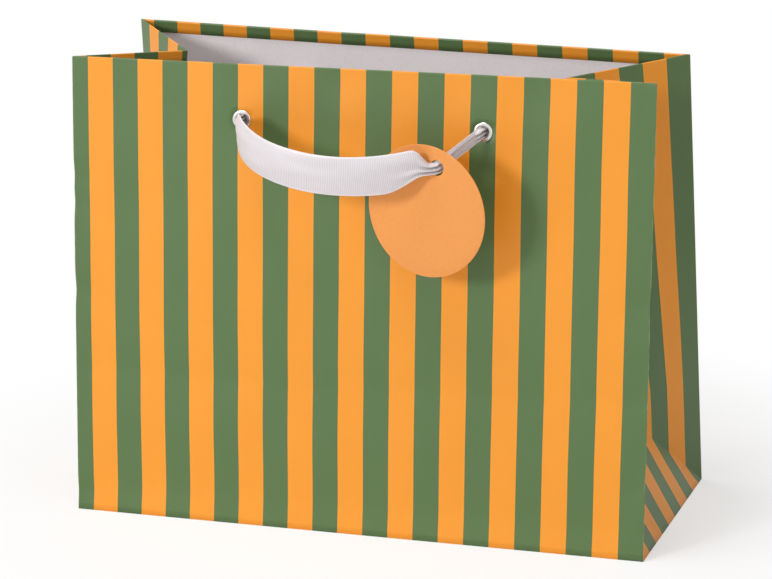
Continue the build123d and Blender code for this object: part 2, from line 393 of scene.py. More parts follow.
@dataclass(frozen=True)
class NickelPlate:
    """Bright nickel with fine polishing marks."""

    name: str = "nickel"
    colour: Colour = srgb(222, 220, 216)
    roughness: float = 0.2

    def build(self) -> bpy.types.Material:
        """Build the material and return it."""
        graph = Graph(self.name)
        where = graph.add("TexCoord").outputs["Object"]
        marks = graph.noise(where, 1500.0, 3.0)
        tarnish = graph.noise(where, 250.0, 2.0)
        return graph.surface({
            "Base Color": graph.mix(graph.spread(tarnish, 0.0, 0.35), self.colour, srgb(176, 172, 166)),
            "Metallic": 1.0,
            "Roughness": graph.spread(marks, self.roughness - 0.06, self.roughness + 0.12),
            "Normal": graph.bump(marks, 0.01 * MM, 0.4),
        })


@dataclass(frozen=True)
class StudioSweep:
    """White floor that takes a soft shadow near the bag and is plain white further off."""

    name: str = "studio_floor"
    colour: Colour = (0.93, 0.93, 0.93)
    shadow_reach: float = 0.16
    fade: float = 0.14
    least: float = 0.55

    def build(self) -> bpy.types.Material:
        """Build the material and return it."""
        graph = Graph(self.name)
        where = graph.add("TexCoord").outputs["Object"]
        distance = graph.add("VectorMath", {0: where}, operation="LENGTH").outputs["Value"]
        far = self.shadow_reach + self.fade
        limits = {"Value": distance, "From Min": self.shadow_reach, "From Max": far, "To Min": self.least}
        share = graph.add("MapRange", limits, interpolation_type="SMOOTHSTEP").outputs[0]
        rays = graph.add("LightPath").outputs
        seen = graph.math("MAXIMUM", rays["Is Camera Ray"], rays["Is Glossy Ray"])
        seen = graph.math("MAXIMUM", seen, rays["Is Transmission Ray"])
        diffuse = graph.add("BsdfDiffuse", {"Color": (*self.colour, 1.0)})
        white = graph.add("Emission", {"Color": (1.0, 1.0, 1.0, 1.0), "Strength": 1.0})
        blend = graph.math("MULTIPLY", share, seen)
        mixed = graph.add("MixShader", {0: blend, 1: diffuse.outputs[0], 2: white.outputs[0]})
        graph.tree.links.new(mixed.outputs[0], graph.output.inputs["Surface"])
        return graph.material


# ---- shared mesh work ------------------------------------------------------------------
def grid(columns: int, rows: int) -> tuple[bmesh.types.BMesh, dict[bmesh.types.BMVert, tuple[int, int]]]:
    """Make a flat grid and say which column and row each vertex is in.

    Args:
        columns: Number of cells along X.
        rows: Number of cells along Y.

    Returns:
        The mesh and the place of every vertex in it.
    """
    bm = bmesh.new()
    bmesh.ops.create_grid(bm, x_segments=columns, y_segments=rows, size=0.5)
    places = {v: (round((v.co.x + 0.5) * columns), round((v.co.y + 0.5) * rows)) for v in bm.verts}
    return bm, places


def spaced(stops: list[float], cell: float) -> list[float]:
    """Return places about a cell apart with every stop among them.

    Args:
        stops: Places that must be kept, in order.
        cell: Greatest distance, roughly, between places.

    Returns:
        All the places in order.
    """
    places = [stops[0]]
    for low, high in zip(stops, stops[1:]):
        count = max(1, round((high - low) / cell))
        places += [low + (high - low) * (i + 1) / count for i in range(count)]
    return places


def cut_holes(
    bm: bmesh.types.BMesh,
    flat: dict[bmesh.types.BMVert, tuple[float, float]],
    holes: list[tuple[float, float]],
    place: Callable[[float, float], Vector],
    radius: float = 2.98 * MM,
) -> None:
    """Open a round hole at each place where the grid has a vertex.

    Args:
        bm: Mesh of the flat or folded grid.
        flat: Place of every vertex on the flat sheet.
        holes: Flat places of the holes' centres.
        place: Gives the point in space of a flat place.
        radius: Radius of the holes.
    """
    for centre in holes:
        heart = min(flat, key=lambda v: math.dist(flat[v], centre) if v.is_valid else 1.0)
        ring = {v for each in heart.link_faces for v in each.verts} - {heart}
        for vert in ring:
            offset = Vector(flat[vert]) - Vector(centre)
            flat[vert] = tuple(Vector(centre) + offset.normalized() * radius)
            vert.co = place(*flat[vert])
        del flat[heart]
        bmesh.ops.delete(bm, geom=[heart], context="VERTS")


def add_uv(
    bm: bmesh.types.BMesh,
    flat: dict[bmesh.types.BMVert, tuple[float, float]],
    name: str = "UVMap",
) -> None:
    """Write a UV map from each vertex's place on the flat material, in metres.

    Args:
        bm: Mesh to map.
        flat: Place of every vertex on the flat sheet.
        name: Name of the map.
    """
    layer = bm.loops.layers.uv.new(name)
    for each in bm.faces:
        for loop in each.loops:
            loop[layer].uv = flat[loop.vert]


def make_piece(
    name: str,
    bm: bmesh.types.BMesh,
    materials: list[bpy.types.Material],
    sharp: float = 25.0,
) -> bpy.types.Object:
    """Turn a finished bmesh into a shown object.

    Args:
        name: Name of the piece.
        bm: Its mesh, which is used up.
        materials: Materials in slot order.
        sharp: Angle in degrees past which an edge between faces stays sharp.

    Returns:
        The object, at the origin.
    """
    for each in bm.faces:
        each.smooth = True
    for edge in bm.edges:
        if len(edge.link_faces) == 2:
            edge.smooth = edge.calc_face_angle(0.0) < math.radians(sharp)
    mesh = bpy.data.meshes.new(name)
    bm.to_mesh(mesh)
    bm.free()
    for material in materials:
        mesh.materials.append(material)
    piece = bpy.data.objects.new(name, mesh)
    bpy.context.scene.collection.objects.link(piece)
    return piece


def thicken(piece: bpy.types.Object, thickness: float, offset: float = -1.0, inner_slot: int = 0) -> None:
    """Give a sheet its thickness with a Solidify modifier.

    Args:
        piece: The sheet.
        thickness: Its thickness.
        offset: -1 to keep the outer face in place, 0 for both ways.
        inner_slot: How many slots on the back's material is from the front's.
    """
    solid = piece.modifiers.new("thickness", "SOLIDIFY")
    solid.thickness = thickness
    solid.offset = offset
    solid.material_offset = inner_slot
    solid.material_offset_rim = inner_slot


def frame_matrix(origin: Vector, across: Vector, outward: Vector) -> Matrix:
    """Return the matrix of a frame whose z axis points outward.

    Args:
        origin: Its origin.
        across: Rough direction of its x axis.
        outward: Its z axis.

    Returns:
        A 4 by 4 matrix.
    """
    z_axis = outward.normalized()
    x_axis = (across - z_axis * across.dot(z_axis)).normalized()
    y_axis = z_axis.cross(x_axis)
    turn = Matrix((x_axis, y_axis, z_axis)).transposed()
    return Matrix.Translation(origin) @ turn.to_4x4()


# ---- the folded sheet --------------------------------------------------------------------
@dataclass(frozen=True)
class Dent:
    """A shallow dent in the paper: its place on the flat sheet, radius and depth."""

    across: float
    height: float
    radius: float
    depth: float


@dataclass(frozen=True)
class SheetForm:
    """The folded sheet's geometry: flat places on the paper become places in space.

    Flat places run from the back left corner round the left gusset, the front, the right
    gusset and the back; 0 is the front left corner. Heights run up the paper from the
    bottom edge.
    """

    width: float = 280 * MM
    depth: float = 118 * MM
    height: float = 220 * MM
    front_lean: tuple[float, float] = (18 * MM, 26 * MM)
    back_lean: tuple[float, float] = (14 * MM, 28 * MM)
    wave: float = 0.85 * MM
    ripple: float = 0.3 * MM
    calm_edge: float = 16 * MM
    folded_line: float = 71 * MM
    folded_depth: float = 0.4 * MM
    folded_reach: float = 5 * MM
    foot_line: float = 13 * MM
    foot_depth: float = 0.55 * MM
    foot_fade: float = 30 * MM
    dents: tuple[Dent, ...] = (
        Dent(5 * MM, 163 * MM, 6 * MM, 0.5 * MM),
        Dent(4 * MM, 150 * MM, 5 * MM, 0.5 * MM),
        Dent(5 * MM, 108 * MM, 6 * MM, 0.5 * MM),
        Dent(6 * MM, 9 * MM, 5 * MM, 0.7 * MM),
        Dent(275 * MM, 118 * MM, 7 * MM, 0.5 * MM),
        Dent(274 * MM, 34 * MM, 6 * MM, 0.5 * MM),
        Dent(132 * MM, 214 * MM, 9 * MM, 0.7 * MM),
        Dent(88 * MM, 213 * MM, 8 * MM, 0.5 * MM),
        Dent(221 * MM, 211 * MM, 11 * MM, 0.5 * MM),
    )

    @property
    def half_depth(self) -> float:
        """Half of the depth, which is a gusset leaf's width."""
        return self.depth / 2

    @property
    def folds(self) -> tuple[float, ...]:
        """Flat places of the upright folds, from the back left corner round to it again."""
        w, d = self.width, self.depth
        return (-d, -d / 2, 0.0, w, w + d / 2, w + d, 2 * w + d)

    def lean(self, side: Side, face: Face) -> float:
        """Return how far a corner leans in over the bottom edge."""
        leans = self.front_lean if face is Face.FRONT else self.back_lean
        return leans[0] if side is Side.LEFT else leans[1]

    def low_corner(self, side: Side, face: Face) -> Vector:
        """Return a bottom corner."""
        return Vector((side.value * self.width / 2, face.value * self.half_depth, 0.0))

    def high_corner(self, side: Side, face: Face) -> Vector:
        """Return a corner of the rim."""
        lean = self.lean(side, face)
        rise = math.sqrt(self.height**2 - lean**2)
        return Vector((side.value * self.width / 2, face.value * (self.half_depth - lean), rise))

    def knee(self, side: Side, face: Face) -> Vector:
        """Return the point on an upright corner at half the depth above the bottom."""
        low, high = self.low_corner(side, face), self.high_corner(side, face)
        return low.lerp(high, self.half_depth / self.height)

    def apex(self, side: Side) -> Vector:
        """Return the top of a gusset's triangular foot."""
        sine = (self.lean(side, Face.FRONT) + self.lean(side, Face.BACK)) / 2 / self.height
        cosine = (1 - sine) / math.sqrt(1 - sine**2)
        inset = self.half_depth * math.sqrt(1 - cosine**2)
        return Vector((side.value * (self.width / 2 - inset), 0.0, self.half_depth * cosine))

    def rim_middle(self, side: Side) -> Vector:
        """Return the top of a gusset's middle fold, where the paper keeps its lengths."""
        front, back = self.high_corner(side, Face.FRONT), self.high_corner(side, Face.BACK)
        low = self.apex(side)
        foot_inset = self.width / 2 - abs(low.x)
        gap, rim, middle = (back.y - front.y) / 2, (front.z + back.z) / 2, (front.y + back.y) / 2
        rise = rim
        for _ in range(30):
            inset = math.sqrt(self.half_depth**2 - gap**2 - (rim - rise) ** 2)
            upper = (self.height - self.half_depth) ** 2
            rise = low.z + math.sqrt(upper - (inset - foot_inset) ** 2 - middle**2)
        return Vector((side.value * (self.width / 2 - inset), middle, rise))

    def locate(self, across: float, height: float) -> Vector:
        """Return the smooth, unwrinkled place in space of a flat place on the paper.

        Args:
            across: Flat place round the bag.
            height: Height up the paper.

        Returns:
            The point on the outer face.
        """
        w, d = self.width, self.depth
        if across < 0:
            return self._gusset_point(Side.LEFT, across + d, height)
        if across <= w:
            return self._wall_point(Face.FRONT, across / w, height)
        if across < w + d:
            return self._gusset_point(Side.RIGHT, w + d - across, height)
        return self._wall_point(Face.BACK, 1 - (across - w - d) / w, height)

    def _wall_point(self, face: Face, share: float, height: float) -> Vector:
        """Return a point on a wall, at a share of the way from left to right."""
        low = self.low_corner(Side.LEFT, face).lerp(self.low_corner(Side.RIGHT, face), share)
        high = self.high_corner(Side.LEFT, face).lerp(self.high_corner(Side.RIGHT, face), share)
        return low.lerp(high, height / self.height)

    def _gusset_point(self, side: Side, from_back: float, height: float) -> Vector:
        """Return a point on a gusset, at a distance from its back corner."""
        half = self.half_depth
        face, inward = (Face.BACK, from_back) if from_back <= half else (Face.FRONT, self.depth - from_back)
        low, knee, apex = self.low_corner(side, face), self.knee(side, face), self.apex(side)
        if height >= half:
            rise = (height - half) / (self.height - half)
            outer = knee.lerp(self.high_corner(side, face), rise)
            return outer.lerp(apex.lerp(self.rim_middle(side), rise), inward / half)
        if height >= inward:
            return low + (knee - low) * ((height - inward) / half) + (apex - low) * (inward / half)
        foot = Vector((low.x, 0.0, 0.0))
        return low + (foot - low) * ((inward - height) / half) + (apex - low) * (height / half)

    def _facet_inward(self, across: float, height: float) -> Vector:
        """Return the inward normal at a place inside one facet."""
        step = 0.2 * MM
        along = self.locate(across + step, height) - self.locate(across - step, height)
        upward = self.locate(across, height + step) - self.locate(across, height - step)
        return upward.cross(along).normalized()

    def inward(self, across: float, height: float) -> Vector:
        """Return the step inwards for 1 of depth; it is mitred where two facets meet."""
        reach = 0.5 * MM
        height = min(max(height, reach), self.height - reach)
        first, last = self.folds[0], self.folds[-1]
        before = across - reach if across - reach > first else last - reach
        after = across + reach if across + reach < last else first + reach
        one, two = self._facet_inward(before, height), self._facet_inward(after, height)
        return (one + two) / max(1 + one.dot(two), 0.5)

    def relief(self, across: float, height: float) -> float:
        """Return how far the paper stands inwards of its smooth place.

        Args:
            across: Flat place round the bag.
            height: Height up the paper.

        Returns:
            The depth, in metres.
        """
        nearest = min(abs(across - fold) for fold in self.folds)
        calm = smooth(nearest / self.calm_edge) * smooth(height / self.calm_edge)
        for centre in EyeletForm(self).flat_centres():
            calm *= smooth(math.dist(centre, (across, height)) / self.calm_edge - 0.35)
        slow = noise.noise(Vector((across * 11, height * 8, 2.7)))
        fast = noise.noise(Vector((across * 38, height * 30, 9.1)))
        depth = calm * (self.wave * slow + self.ripple * fast)
        line = self.folded_line + 3 * MM * noise.noise(Vector((across * 6, 4.0, 1.0)))
        on_wall = 0 < across < self.width or across > self.width + self.depth
        if on_wall:
            depth += self.folded_depth * math.exp(-abs(height - line) / self.folded_reach)
            below, above = height / self.foot_line, 1 - (height - self.foot_line) / self.foot_fade
            depth += self.foot_depth * max(min(below, above), 0.0) * smooth(nearest / self.calm_edge)
        for dent in self.dents:
            gap = math.hypot(across - dent.across, height - dent.height) / dent.radius
            depth += dent.depth * math.exp(-gap * gap)
        return depth

    def place(self, across: float, height: float, depth: float = 0.0) -> Vector:
        """Return the place in space of a point at a depth behind the printed face."""
        total = depth + self.relief(across, height)
        return self.locate(across, height) + self.inward(across, height) * total


FORM = SheetForm()


@dataclass
class PrintedSheet:
    """The one printed sheet: both walls, both gussets and the hem turned over the rim."""

    form: SheetForm
    paper: float = 0.26 * MM
    cell: float = 3.3 * MM
    hem: float = 6 * MM
    wall_turn: float = 0.62 * MM
    gusset_turn: float = 0.42 * MM
    turn_steps: int = 5
    hem_steps: int = 2
    overlap: float = 6.38 * MM
    left_print: float = -3.9 * MM
    wander: float = 0.28 * MM
    across: list[float] = field(default_factory=list)

    def build(self, printed: bpy.types.Material, plain: bpy.types.Material) -> bpy.types.Object:
        """Fold the sheet.

        Args:
            printed: Material of the printed side.
            plain: Material of the white side and the cut edges.

        Returns:
            The folded sheet.
        """
        holes = EyeletForm(self.form).flat_centres()
        stops = sorted(set(self.form.folds) | {across for across, _ in holes})
        self.across = spaced(stops, self.cell)
        heights = spaced([0.0, self.form.half_depth, holes[0][1], self.form.height], self.cell)
        rows = len(heights) - 1 + self.turn_steps + self.hem_steps
        bm, places = grid(len(self.across) - 1, rows)
        flat = {}
        for vert, (column, row) in places.items():
            across = self.across[column]
            height, depth = self._rim_profile(across, row, heights)
            vert.co = self.form.place(across, height, depth)
            beyond = max(row - len(heights) + 1, 0) * MM
            flat[vert] = (across, height + beyond)
        self._crease_feet(bm, places, heights)
        cut_holes(bm, flat, holes, lambda across, height: self.form.place(across, height, 0.0))
        self._add_print(bm, flat)
        bmesh.ops.remove_doubles(bm, verts=bm.verts, dist=0.02 * MM)
        piece = make_piece("printed_sheet", bm, [printed, plain], sharp=14.0)
        thicken(piece, self.paper, inner_slot=1)
        return piece

    def _add_print(self, bm: bmesh.types.BMesh, flat: dict[bmesh.types.BMVert, tuple[float, float]]) -> None:
        """Write the place of each face's corners on the printed roll, face by face.

        Args:
            bm: The sheet's mesh.
            flat: Place of every vertex on the folded sheet.
        """
        layer = bm.loops.layers.uv.new("UVMap")
        fold_layer = bm.loops.layers.uv.new("FoldMap")
        for each in bm.faces:
            middle = sum(flat[vert][0] for vert in each.verts) / len(each.verts)
            for loop in each.loops:
                across, height = flat[loop.vert]
                loop[layer].uv = (self._printed(across, height, middle), height)
                loop[fold_layer].uv = (across, height)

    def _printed(self, across: float, height: float, middle: float) -> float:
        """Return where along the printed roll a place lies, in the part that holds the middle.

        The upright fold at the back right lies further along the roll than the bottom's
        corner does, so the print spreads over the right gusset; the left gusset is glued on.
        """
        w, d = self.form.width, self.form.depth
        drift = self.wander * noise.noise(Vector((across * 9, height * 26, 6.3)))
        if middle < 0:
            return across + d + self.left_print + drift
        if middle < w:
            return across + drift
        if middle > w + d:
            return across + self.overlap + drift
        inward = max(min(across - w, w + d - across), 0.01 * MM)
        share = min(height / inward, 1.0)
        return across + self.overlap * (across - w) / d * share + drift

    def _rim_profile(self, across: float, row: int, heights: list[float]) -> tuple[float, float]:
        """Return the height and depth of a row: up the wall, over the rim, down the hem."""
        on_wall = 0 <= across <= self.form.width or across >= self.form.width + self.form.depth
        radius = self.wall_turn if on_wall else self.gusset_turn
        top = self.form.height - radius
        if row < len(heights):
            return min(heights[row], top), 0.0
        turned = row - len(heights) + 1
        if turned <= self.turn_steps:
            angle = math.pi * turned / self.turn_steps
            return top + radius * math.sin(angle), radius * (1 - math.cos(angle))
        share = (turned - self.turn_steps) / self.hem_steps
        return top - (self.hem - radius) * share, 2 * radius

    def _crease_feet(
        self,
        bm: bmesh.types.BMesh,
        places: dict[bmesh.types.BMVert, tuple[int, int]],
        heights: list[float],
    ) -> None:
        """Cut the slanted creases of both gusset feet into the grid.

        Args:
            bm: The sheet's mesh.
            places: Column and row of each vertex.
            heights: Height of each row.
        """
        corners = [f for f in self.form.folds if round(f / self.form.half_depth, 3) != -1]
        corners = [c for c in corners if abs(c - self.form.width - self.form.half_depth) > MM]
        on_crease = []
        for vert, (column, row) in places.items():
            if row < len(heights) and heights[row] <= self.form.half_depth + 0.01 * MM:
                across = self.across[column]
                gusset = across <= 0 or self.form.width <= across <= self.form.width + self.form.depth
                inward = min(abs(across - corner) for corner in corners)
                if gusset and abs(inward - heights[row]) < 0.01 * MM:
                    on_crease.append(vert)
        bmesh.ops.connect_verts(bm, verts=on_crease)


@dataclass
class Liner:
    """A strip of paper or card glued to the inside of a wall, which it follows."""

    name: str
    form: SheetForm
    across: tuple[float, float]
    heights: tuple[float, float]
    depth: float
    thickness: float
    holes: list[tuple[float, float]] = field(default_factory=list)
    cell: float = 3.5 * MM

    def build(self, stock: bpy.types.Material) -> bpy.types.Object:
        """Build the strip.

        Args:
            stock: Its material.

        Returns:
            The strip, its outer face at its depth behind the wall's printed face.
        """
        across = spaced(sorted({*self.across, *(a for a, _ in self.holes)}), self.cell)
        heights = spaced(sorted({*self.heights, *(h for _, h in self.holes)}), self.cell)
        bm, places = grid(len(across) - 1, len(heights) - 1)
        flat = {vert: (across[column], heights[row]) for vert, (column, row) in places.items()}
        for vert, place in flat.items():
            vert.co = self.form.place(*place, self.depth)
        cut_holes(bm, flat, self.holes, lambda a, h: self.form.place(a, h, self.depth))
        piece = make_piece(self.name, bm, [stock])
        thicken(piece, self.thickness)
        return piece


@dataclass
class BottomFlap:
    """One glued flap of the bottom, a flat sheet with a faint cockle."""

    name: str
    low: Vector
    high: Vector
    print_face: Face | None
    form: SheetForm
    paper: float = 0.26 * MM
    cell: float = 4 * MM
    cockle: float = 0.04 * MM
    far_from_folds: float = 50 * MM

    def build(self, materials: list[bpy.types.Material]) -> bpy.types.Object:
        """Build the flap.

        Args:
            materials: Outer and inner material.

        Returns:
            The flap, printed side down.
        """
        columns = round((self.high.x - self.low.x) / self.cell)
        rows = round((self.high.y - self.low.y) / self.cell)
        bm, places = grid(columns, rows)
        flat = {}
        for vert, (column, row) in places.items():
            x = self.high.x + (self.low.x - self.high.x) * column / columns
            y = self.low.y + (self.high.y - self.low.y) * row / rows
            lift = self.cockle * (1 + noise.noise(Vector((x * 25, y * 25, self.low.z * 900))))
            vert.co = Vector((x, y, self.low.z + lift))
            flat[vert] = (self._printed_place(x), y)
        add_uv(bm, flat)
        add_uv(bm, dict.fromkeys(flat, (self.far_from_folds, 0.0)), "FoldMap")
        piece = make_piece(self.name, bm, materials)
        thicken(piece, self.paper, inner_slot=len(materials) - 1)
        return piece

    def _printed_place(self, x: float) -> float:
        """Return the place on the flat sheet whose stripe runs on over this flap."""
        if self.print_face is Face.BACK:
            return 1.5 * self.form.width + self.form.depth - x + PrintedSheet.overlap
        return self.form.width / 2 + x


# ---- eyelets ------------------------------------------------------------------------------
@dataclass(frozen=True)
class EyeletForm:
    """Where the eyelets sit and how large they are."""

    form: SheetForm
    spacing: float = 116 * MM
    shift: float = 2 * MM
    drop: float = 26 * MM
    bore: float = 2.5 * MM
    barrel: float = 2.9 * MM
    flange: float = 4.5 * MM
    flange_rise: float = 0.62 * MM
    lip: float = 3.6 * MM
    stack: float = 1.36 * MM
    lip_rise: float = 0.35 * MM

    def flat_centre(self, side: Side, face: Face) -> tuple[float, float]:
        """Return an eyelet's place on the flat sheet."""
        x = self.shift + side.value * self.spacing / 2
        across = self.form.width / 2 + x
        if face is Face.BACK:
            across = 1.5 * self.form.width + self.form.depth - x
        return across, self.form.height - self.drop

    def flat_centres(self) -> list[tuple[float, float]]:
        """Return the places of all the eyelets on the flat sheet."""
        return [self.flat_centre(side, face) for face in Face for side in Side]

    def frame(self, side: Side, face: Face) -> Matrix:
        """Return an eyelet's frame on the wall's outer face, z pointing out of the bag."""
        flat, height = self.flat_centre(side, face)
        outward = -self.form.inward(flat, height)
        return frame_matrix(self.form.locate(flat, height), Vector((1.0, 0.0, 0.0)), outward)


@dataclass
class Eyelet:
    """A rolled metal eyelet: rounded flange outside, barrel, and lip curled over inside."""

    sizes: EyeletForm
    side: Side
    face: Face
    steps: int = 48
    arc_steps: int = 8

    def build(self, metal: bpy.types.Material) -> bpy.types.Object:
        """Spin the eyelet's profile round its axis.

        Args:
            metal: Its finish.

        Returns:
            The eyelet in its place.
        """
        bm = bmesh.new()
        verts = [bm.verts.new(point) for point in self._profile()]
        edges = [bm.edges.new((a, b)) for a, b in zip(verts, verts[1:] + verts[:1])]
        bmesh.ops.spin(
            bm,
            geom=verts + edges,
            cent=(0.0, 0.0, 0.0),
            axis=(0.0, 0.0, 1.0),
            angle=2 * math.pi,
            steps=self.steps,
            use_merge=True,
        )
        bmesh.ops.remove_doubles(bm, verts=bm.verts, dist=0.001 * MM)
        bmesh.ops.recalc_face_normals(bm, faces=bm.faces)
        bmesh.ops.transform(bm, matrix=self.sizes.frame(self.side, self.face), verts=bm.verts)
        return make_piece(f"{label(self.face)}_{label(self.side)}_eyelet_ring", bm, [metal], sharp=40.0)

    def _profile(self) -> list[Vector]:
        """Return the closed section, from the bore's inner end round flange and lip."""
        s = self.sizes
        inner_end = -s.stack - s.lip_rise
        crown = (s.bore + s.flange) / 2
        points = [Vector((s.bore, 0.0, inner_end * 0.8))]
        for i in range(self.arc_steps + 1):
            angle = math.pi * (1 - i / self.arc_steps)
            radius = crown + (s.flange - s.bore) / 2 * math.cos(angle)
            points.append(Vector((radius, 0.0, 0.06 * MM + s.flange_rise * math.sin(angle) ** 0.8)))
        points.append(Vector((s.barrel, 0.0, 0.02 * MM)))
        points.append(Vector((s.barrel, 0.0, -s.stack)))
        points.append(Vector((s.lip - 0.1 * MM, 0.0, -s.stack)))
        points.append(Vector((s.lip, 0.0, -s.stack - s.lip_rise / 2)))
        points.append(Vector((s.lip - 0.2 * MM, 0.0, inner_end)))
        points.append(Vector((s.bore + 0.25 * MM, 0.0, inner_end)))
        return points


# ---- ribbons ---------------------------------------------------------------------------------
@dataclass(frozen=True)
class LoopForm:
    """The line that a ribbon handle follows outside its wall."""

    eyelets: EyeletForm
    face: Face
    standoff: float = 3.4 * MM
    reach: float = 38 * MM
    drop: float = 27.0

    def pivot(self, side: Side) -> Vector:
        """Return the point just outside an eyelet about which the ribbon's end turns."""
        matrix = self.eyelets.frame(side, self.face)
        return matrix @ Vector((0.0, 0.0, self.standoff))

    def point(self, angle: float) -> Vector:
        """Return a point of the loop, from 0 at the left pivot to 180 at the right one."""
        left, right = self.pivot(Side.LEFT), self.pivot(Side.RIGHT)
        along = (right - left).normalized()
        drop, turn = math.radians(self.drop), math.radians(angle)
        crown = Vector((0.0, self.face.value * math.cos(drop), -math.sin(drop)))
        crown = (crown - along * crown.dot(along)).normalized()
        half_span = (right - left).length / 2
        return (left + right) / 2 - along * half_span * math.cos(turn) + crown * self.reach * math.sin(turn)


@dataclass
class RibbonHandle:
    """A flat ribbon gathered into pleats at its eyelets and spread out between them."""

    loop: LoopForm
    tag_angle: float | None
    width: float = 18 * MM
    thickness: float = 0.4 * MM
    gathered: float = 0.27
    flare: float = 11 * MM
    lower_flare: float = 23 * MM
    upper_flare: float = 8 * MM
    neck: float = 3 * MM
    taut: float = 0.06
    taut_pleat: float = 0.2 * MM
    lift: float = 2.2 * MM
    lift_reach: float = 11 * MM
    pleat: float = 1.1 * MM
    pleats: float = 2.5
    cup: float = 1.3 * MM
    inside: float = 7 * MM
    columns: int = 220
    rows: int = 36
    length: float = 0.0

    def build(self, ribbon: bpy.types.Material) -> bpy.types.Object:
        """Build the ribbon from knot to knot.

        Args:
            ribbon: Its material.

        Returns:
            The ribbon; its length along the middle is kept in self.length.
        """
        line = self._line()
        lengths = [0.0]
        for before, after in zip(line, line[1:]):
            lengths.append(lengths[-1] + (after - before).length)
        self.length = lengths[-1]
        bm, places = grid(self.columns, self.rows)
        flat = {}
        for vert, (column, row) in places.items():
            along = self.length * column / self.columns
            share = 2 * row / self.rows - 1
            centre, tangent = self._at(line, lengths, along)
            vert.co = self._section(centre, tangent, along, share)
            flat[vert] = (along, share * self.width / 2)
        add_uv(bm, flat)
        piece = make_piece(f"{label(self.loop.face)}_ribbon", bm, [ribbon], sharp=180.0)
        thicken(piece, self.thickness, offset=0.0)
        return piece

    def _line(self) -> list[Vector]:
        """Return the ribbon's middle line, from the left knot to the right one."""
        steps = 120
        loop = [self._course(180 * i / steps) for i in range(steps + 1)]
        left, right = (self._inside_points(side) for side in Side)
        return left[::-1] + loop + right

    def _course(self, angle: float) -> Vector:
        """Return a point of the ribbon's line, which hangs fuller before the tag and is taut past it."""
        point = self.loop.point(angle)
        if self.tag_angle is None:
            return point
        hole = self.loop.point(self.tag_angle)
        if angle > self.tag_angle:
            share = (angle - self.tag_angle) / (180 - self.tag_angle)
            return hole.lerp(self.loop.pivot(Side.RIGHT), share)
        reach = min((point - self.loop.pivot(Side.LEFT)).length, (point - hole).length)
        return point + UP * self.lift * smooth(reach / self.lift_reach)

    def _inside_points(self, side: Side) -> list[Vector]:
        """Return points from an eyelet's mouth in to the knot."""
        matrix = self.loop.eyelets.frame(side, self.loop.face)
        depths = (self.loop.standoff / 2, 0.0, -self.inside / 2, -self.inside)
        return [matrix @ Vector((0.0, 0.0, depth)) for depth in depths]

    def _at(self, line: list[Vector], lengths: list[float], along: float) -> tuple[Vector, Vector]:
        """Return the point and smoothed direction at a length along the line."""
        last = len(line) - 2
        index = min(max(sum(1 for d in lengths if d <= along) - 1, 0), last)
        step = lengths[index + 1] - lengths[index]
        share = (along - lengths[index]) / step
        before, after = line[max(index - 3, 0)], line[min(index + 4, last + 1)]
        return line[index].lerp(line[index + 1], share), (after - before).normalized()

    def _spread(self, point: Vector) -> tuple[float, float, float]:
        """Return how far the lower and upper halves are spread at a point, and the pleats' depth."""
        left, right = (self.loop.pivot(side) for side in Side)
        if (point.y - left.y) * self.loop.face.value < -0.5 * MM:
            return 0.0, 0.0, self.pleat
        even = smooth(min((point - left).length, (point - right).length) / self.flare)
        if self.tag_angle is None:
            return even, even, self.pleat
        hole = self.loop.point(self.tag_angle)
        near = max((point - hole).length - self.neck, 0.0)
        if (point - hole).dot(right - left) > 0:
            calm = smooth(near / self.flare)
            return self.taut, self.taut, self.pleat + (self.taut_pleat - self.pleat) * calm
        lower, upper = smooth(near / self.lower_flare), smooth(near / self.upper_flare)
        return min(even, lower), min(even, upper), self.pleat

    def _section(self, centre: Vector, tangent: Vector, along: float, share: float) -> Vector:
        """Return the point at a share, from -1 to 1, across the ribbon.

        Args:
            centre: Point on the middle line.
            tangent: Direction of the line.
            along: Length along the line.
            share: Place across the ribbon, -1 at the lower edge.

        Returns:
            The point on the ribbon's middle surface.
        """
        upward = (UP - tangent * UP.dot(tangent)).normalized()
        through = tangent.cross(upward) * -self.loop.face.value
        lower, upper, pleat = self._spread(centre)
        half = self.width / 2 * (self.gathered + (1 - self.gathered) * (upper if share > 0 else lower))
        spread = lower + (upper - lower) * smooth((share + 1) / 2)
        folds = math.sin(math.pi * self.pleats * share + 0.6) * pleat * (1 - spread) ** 1.3
        soft = noise.noise(Vector((along * 40, share * 1.6, 5.0))) * 0.5 * MM * smooth(spread)
        curl = self.cup * spread * (share**2 - 0.4)
        return centre + upward * (half * share) - through * (folds + curl + soft)


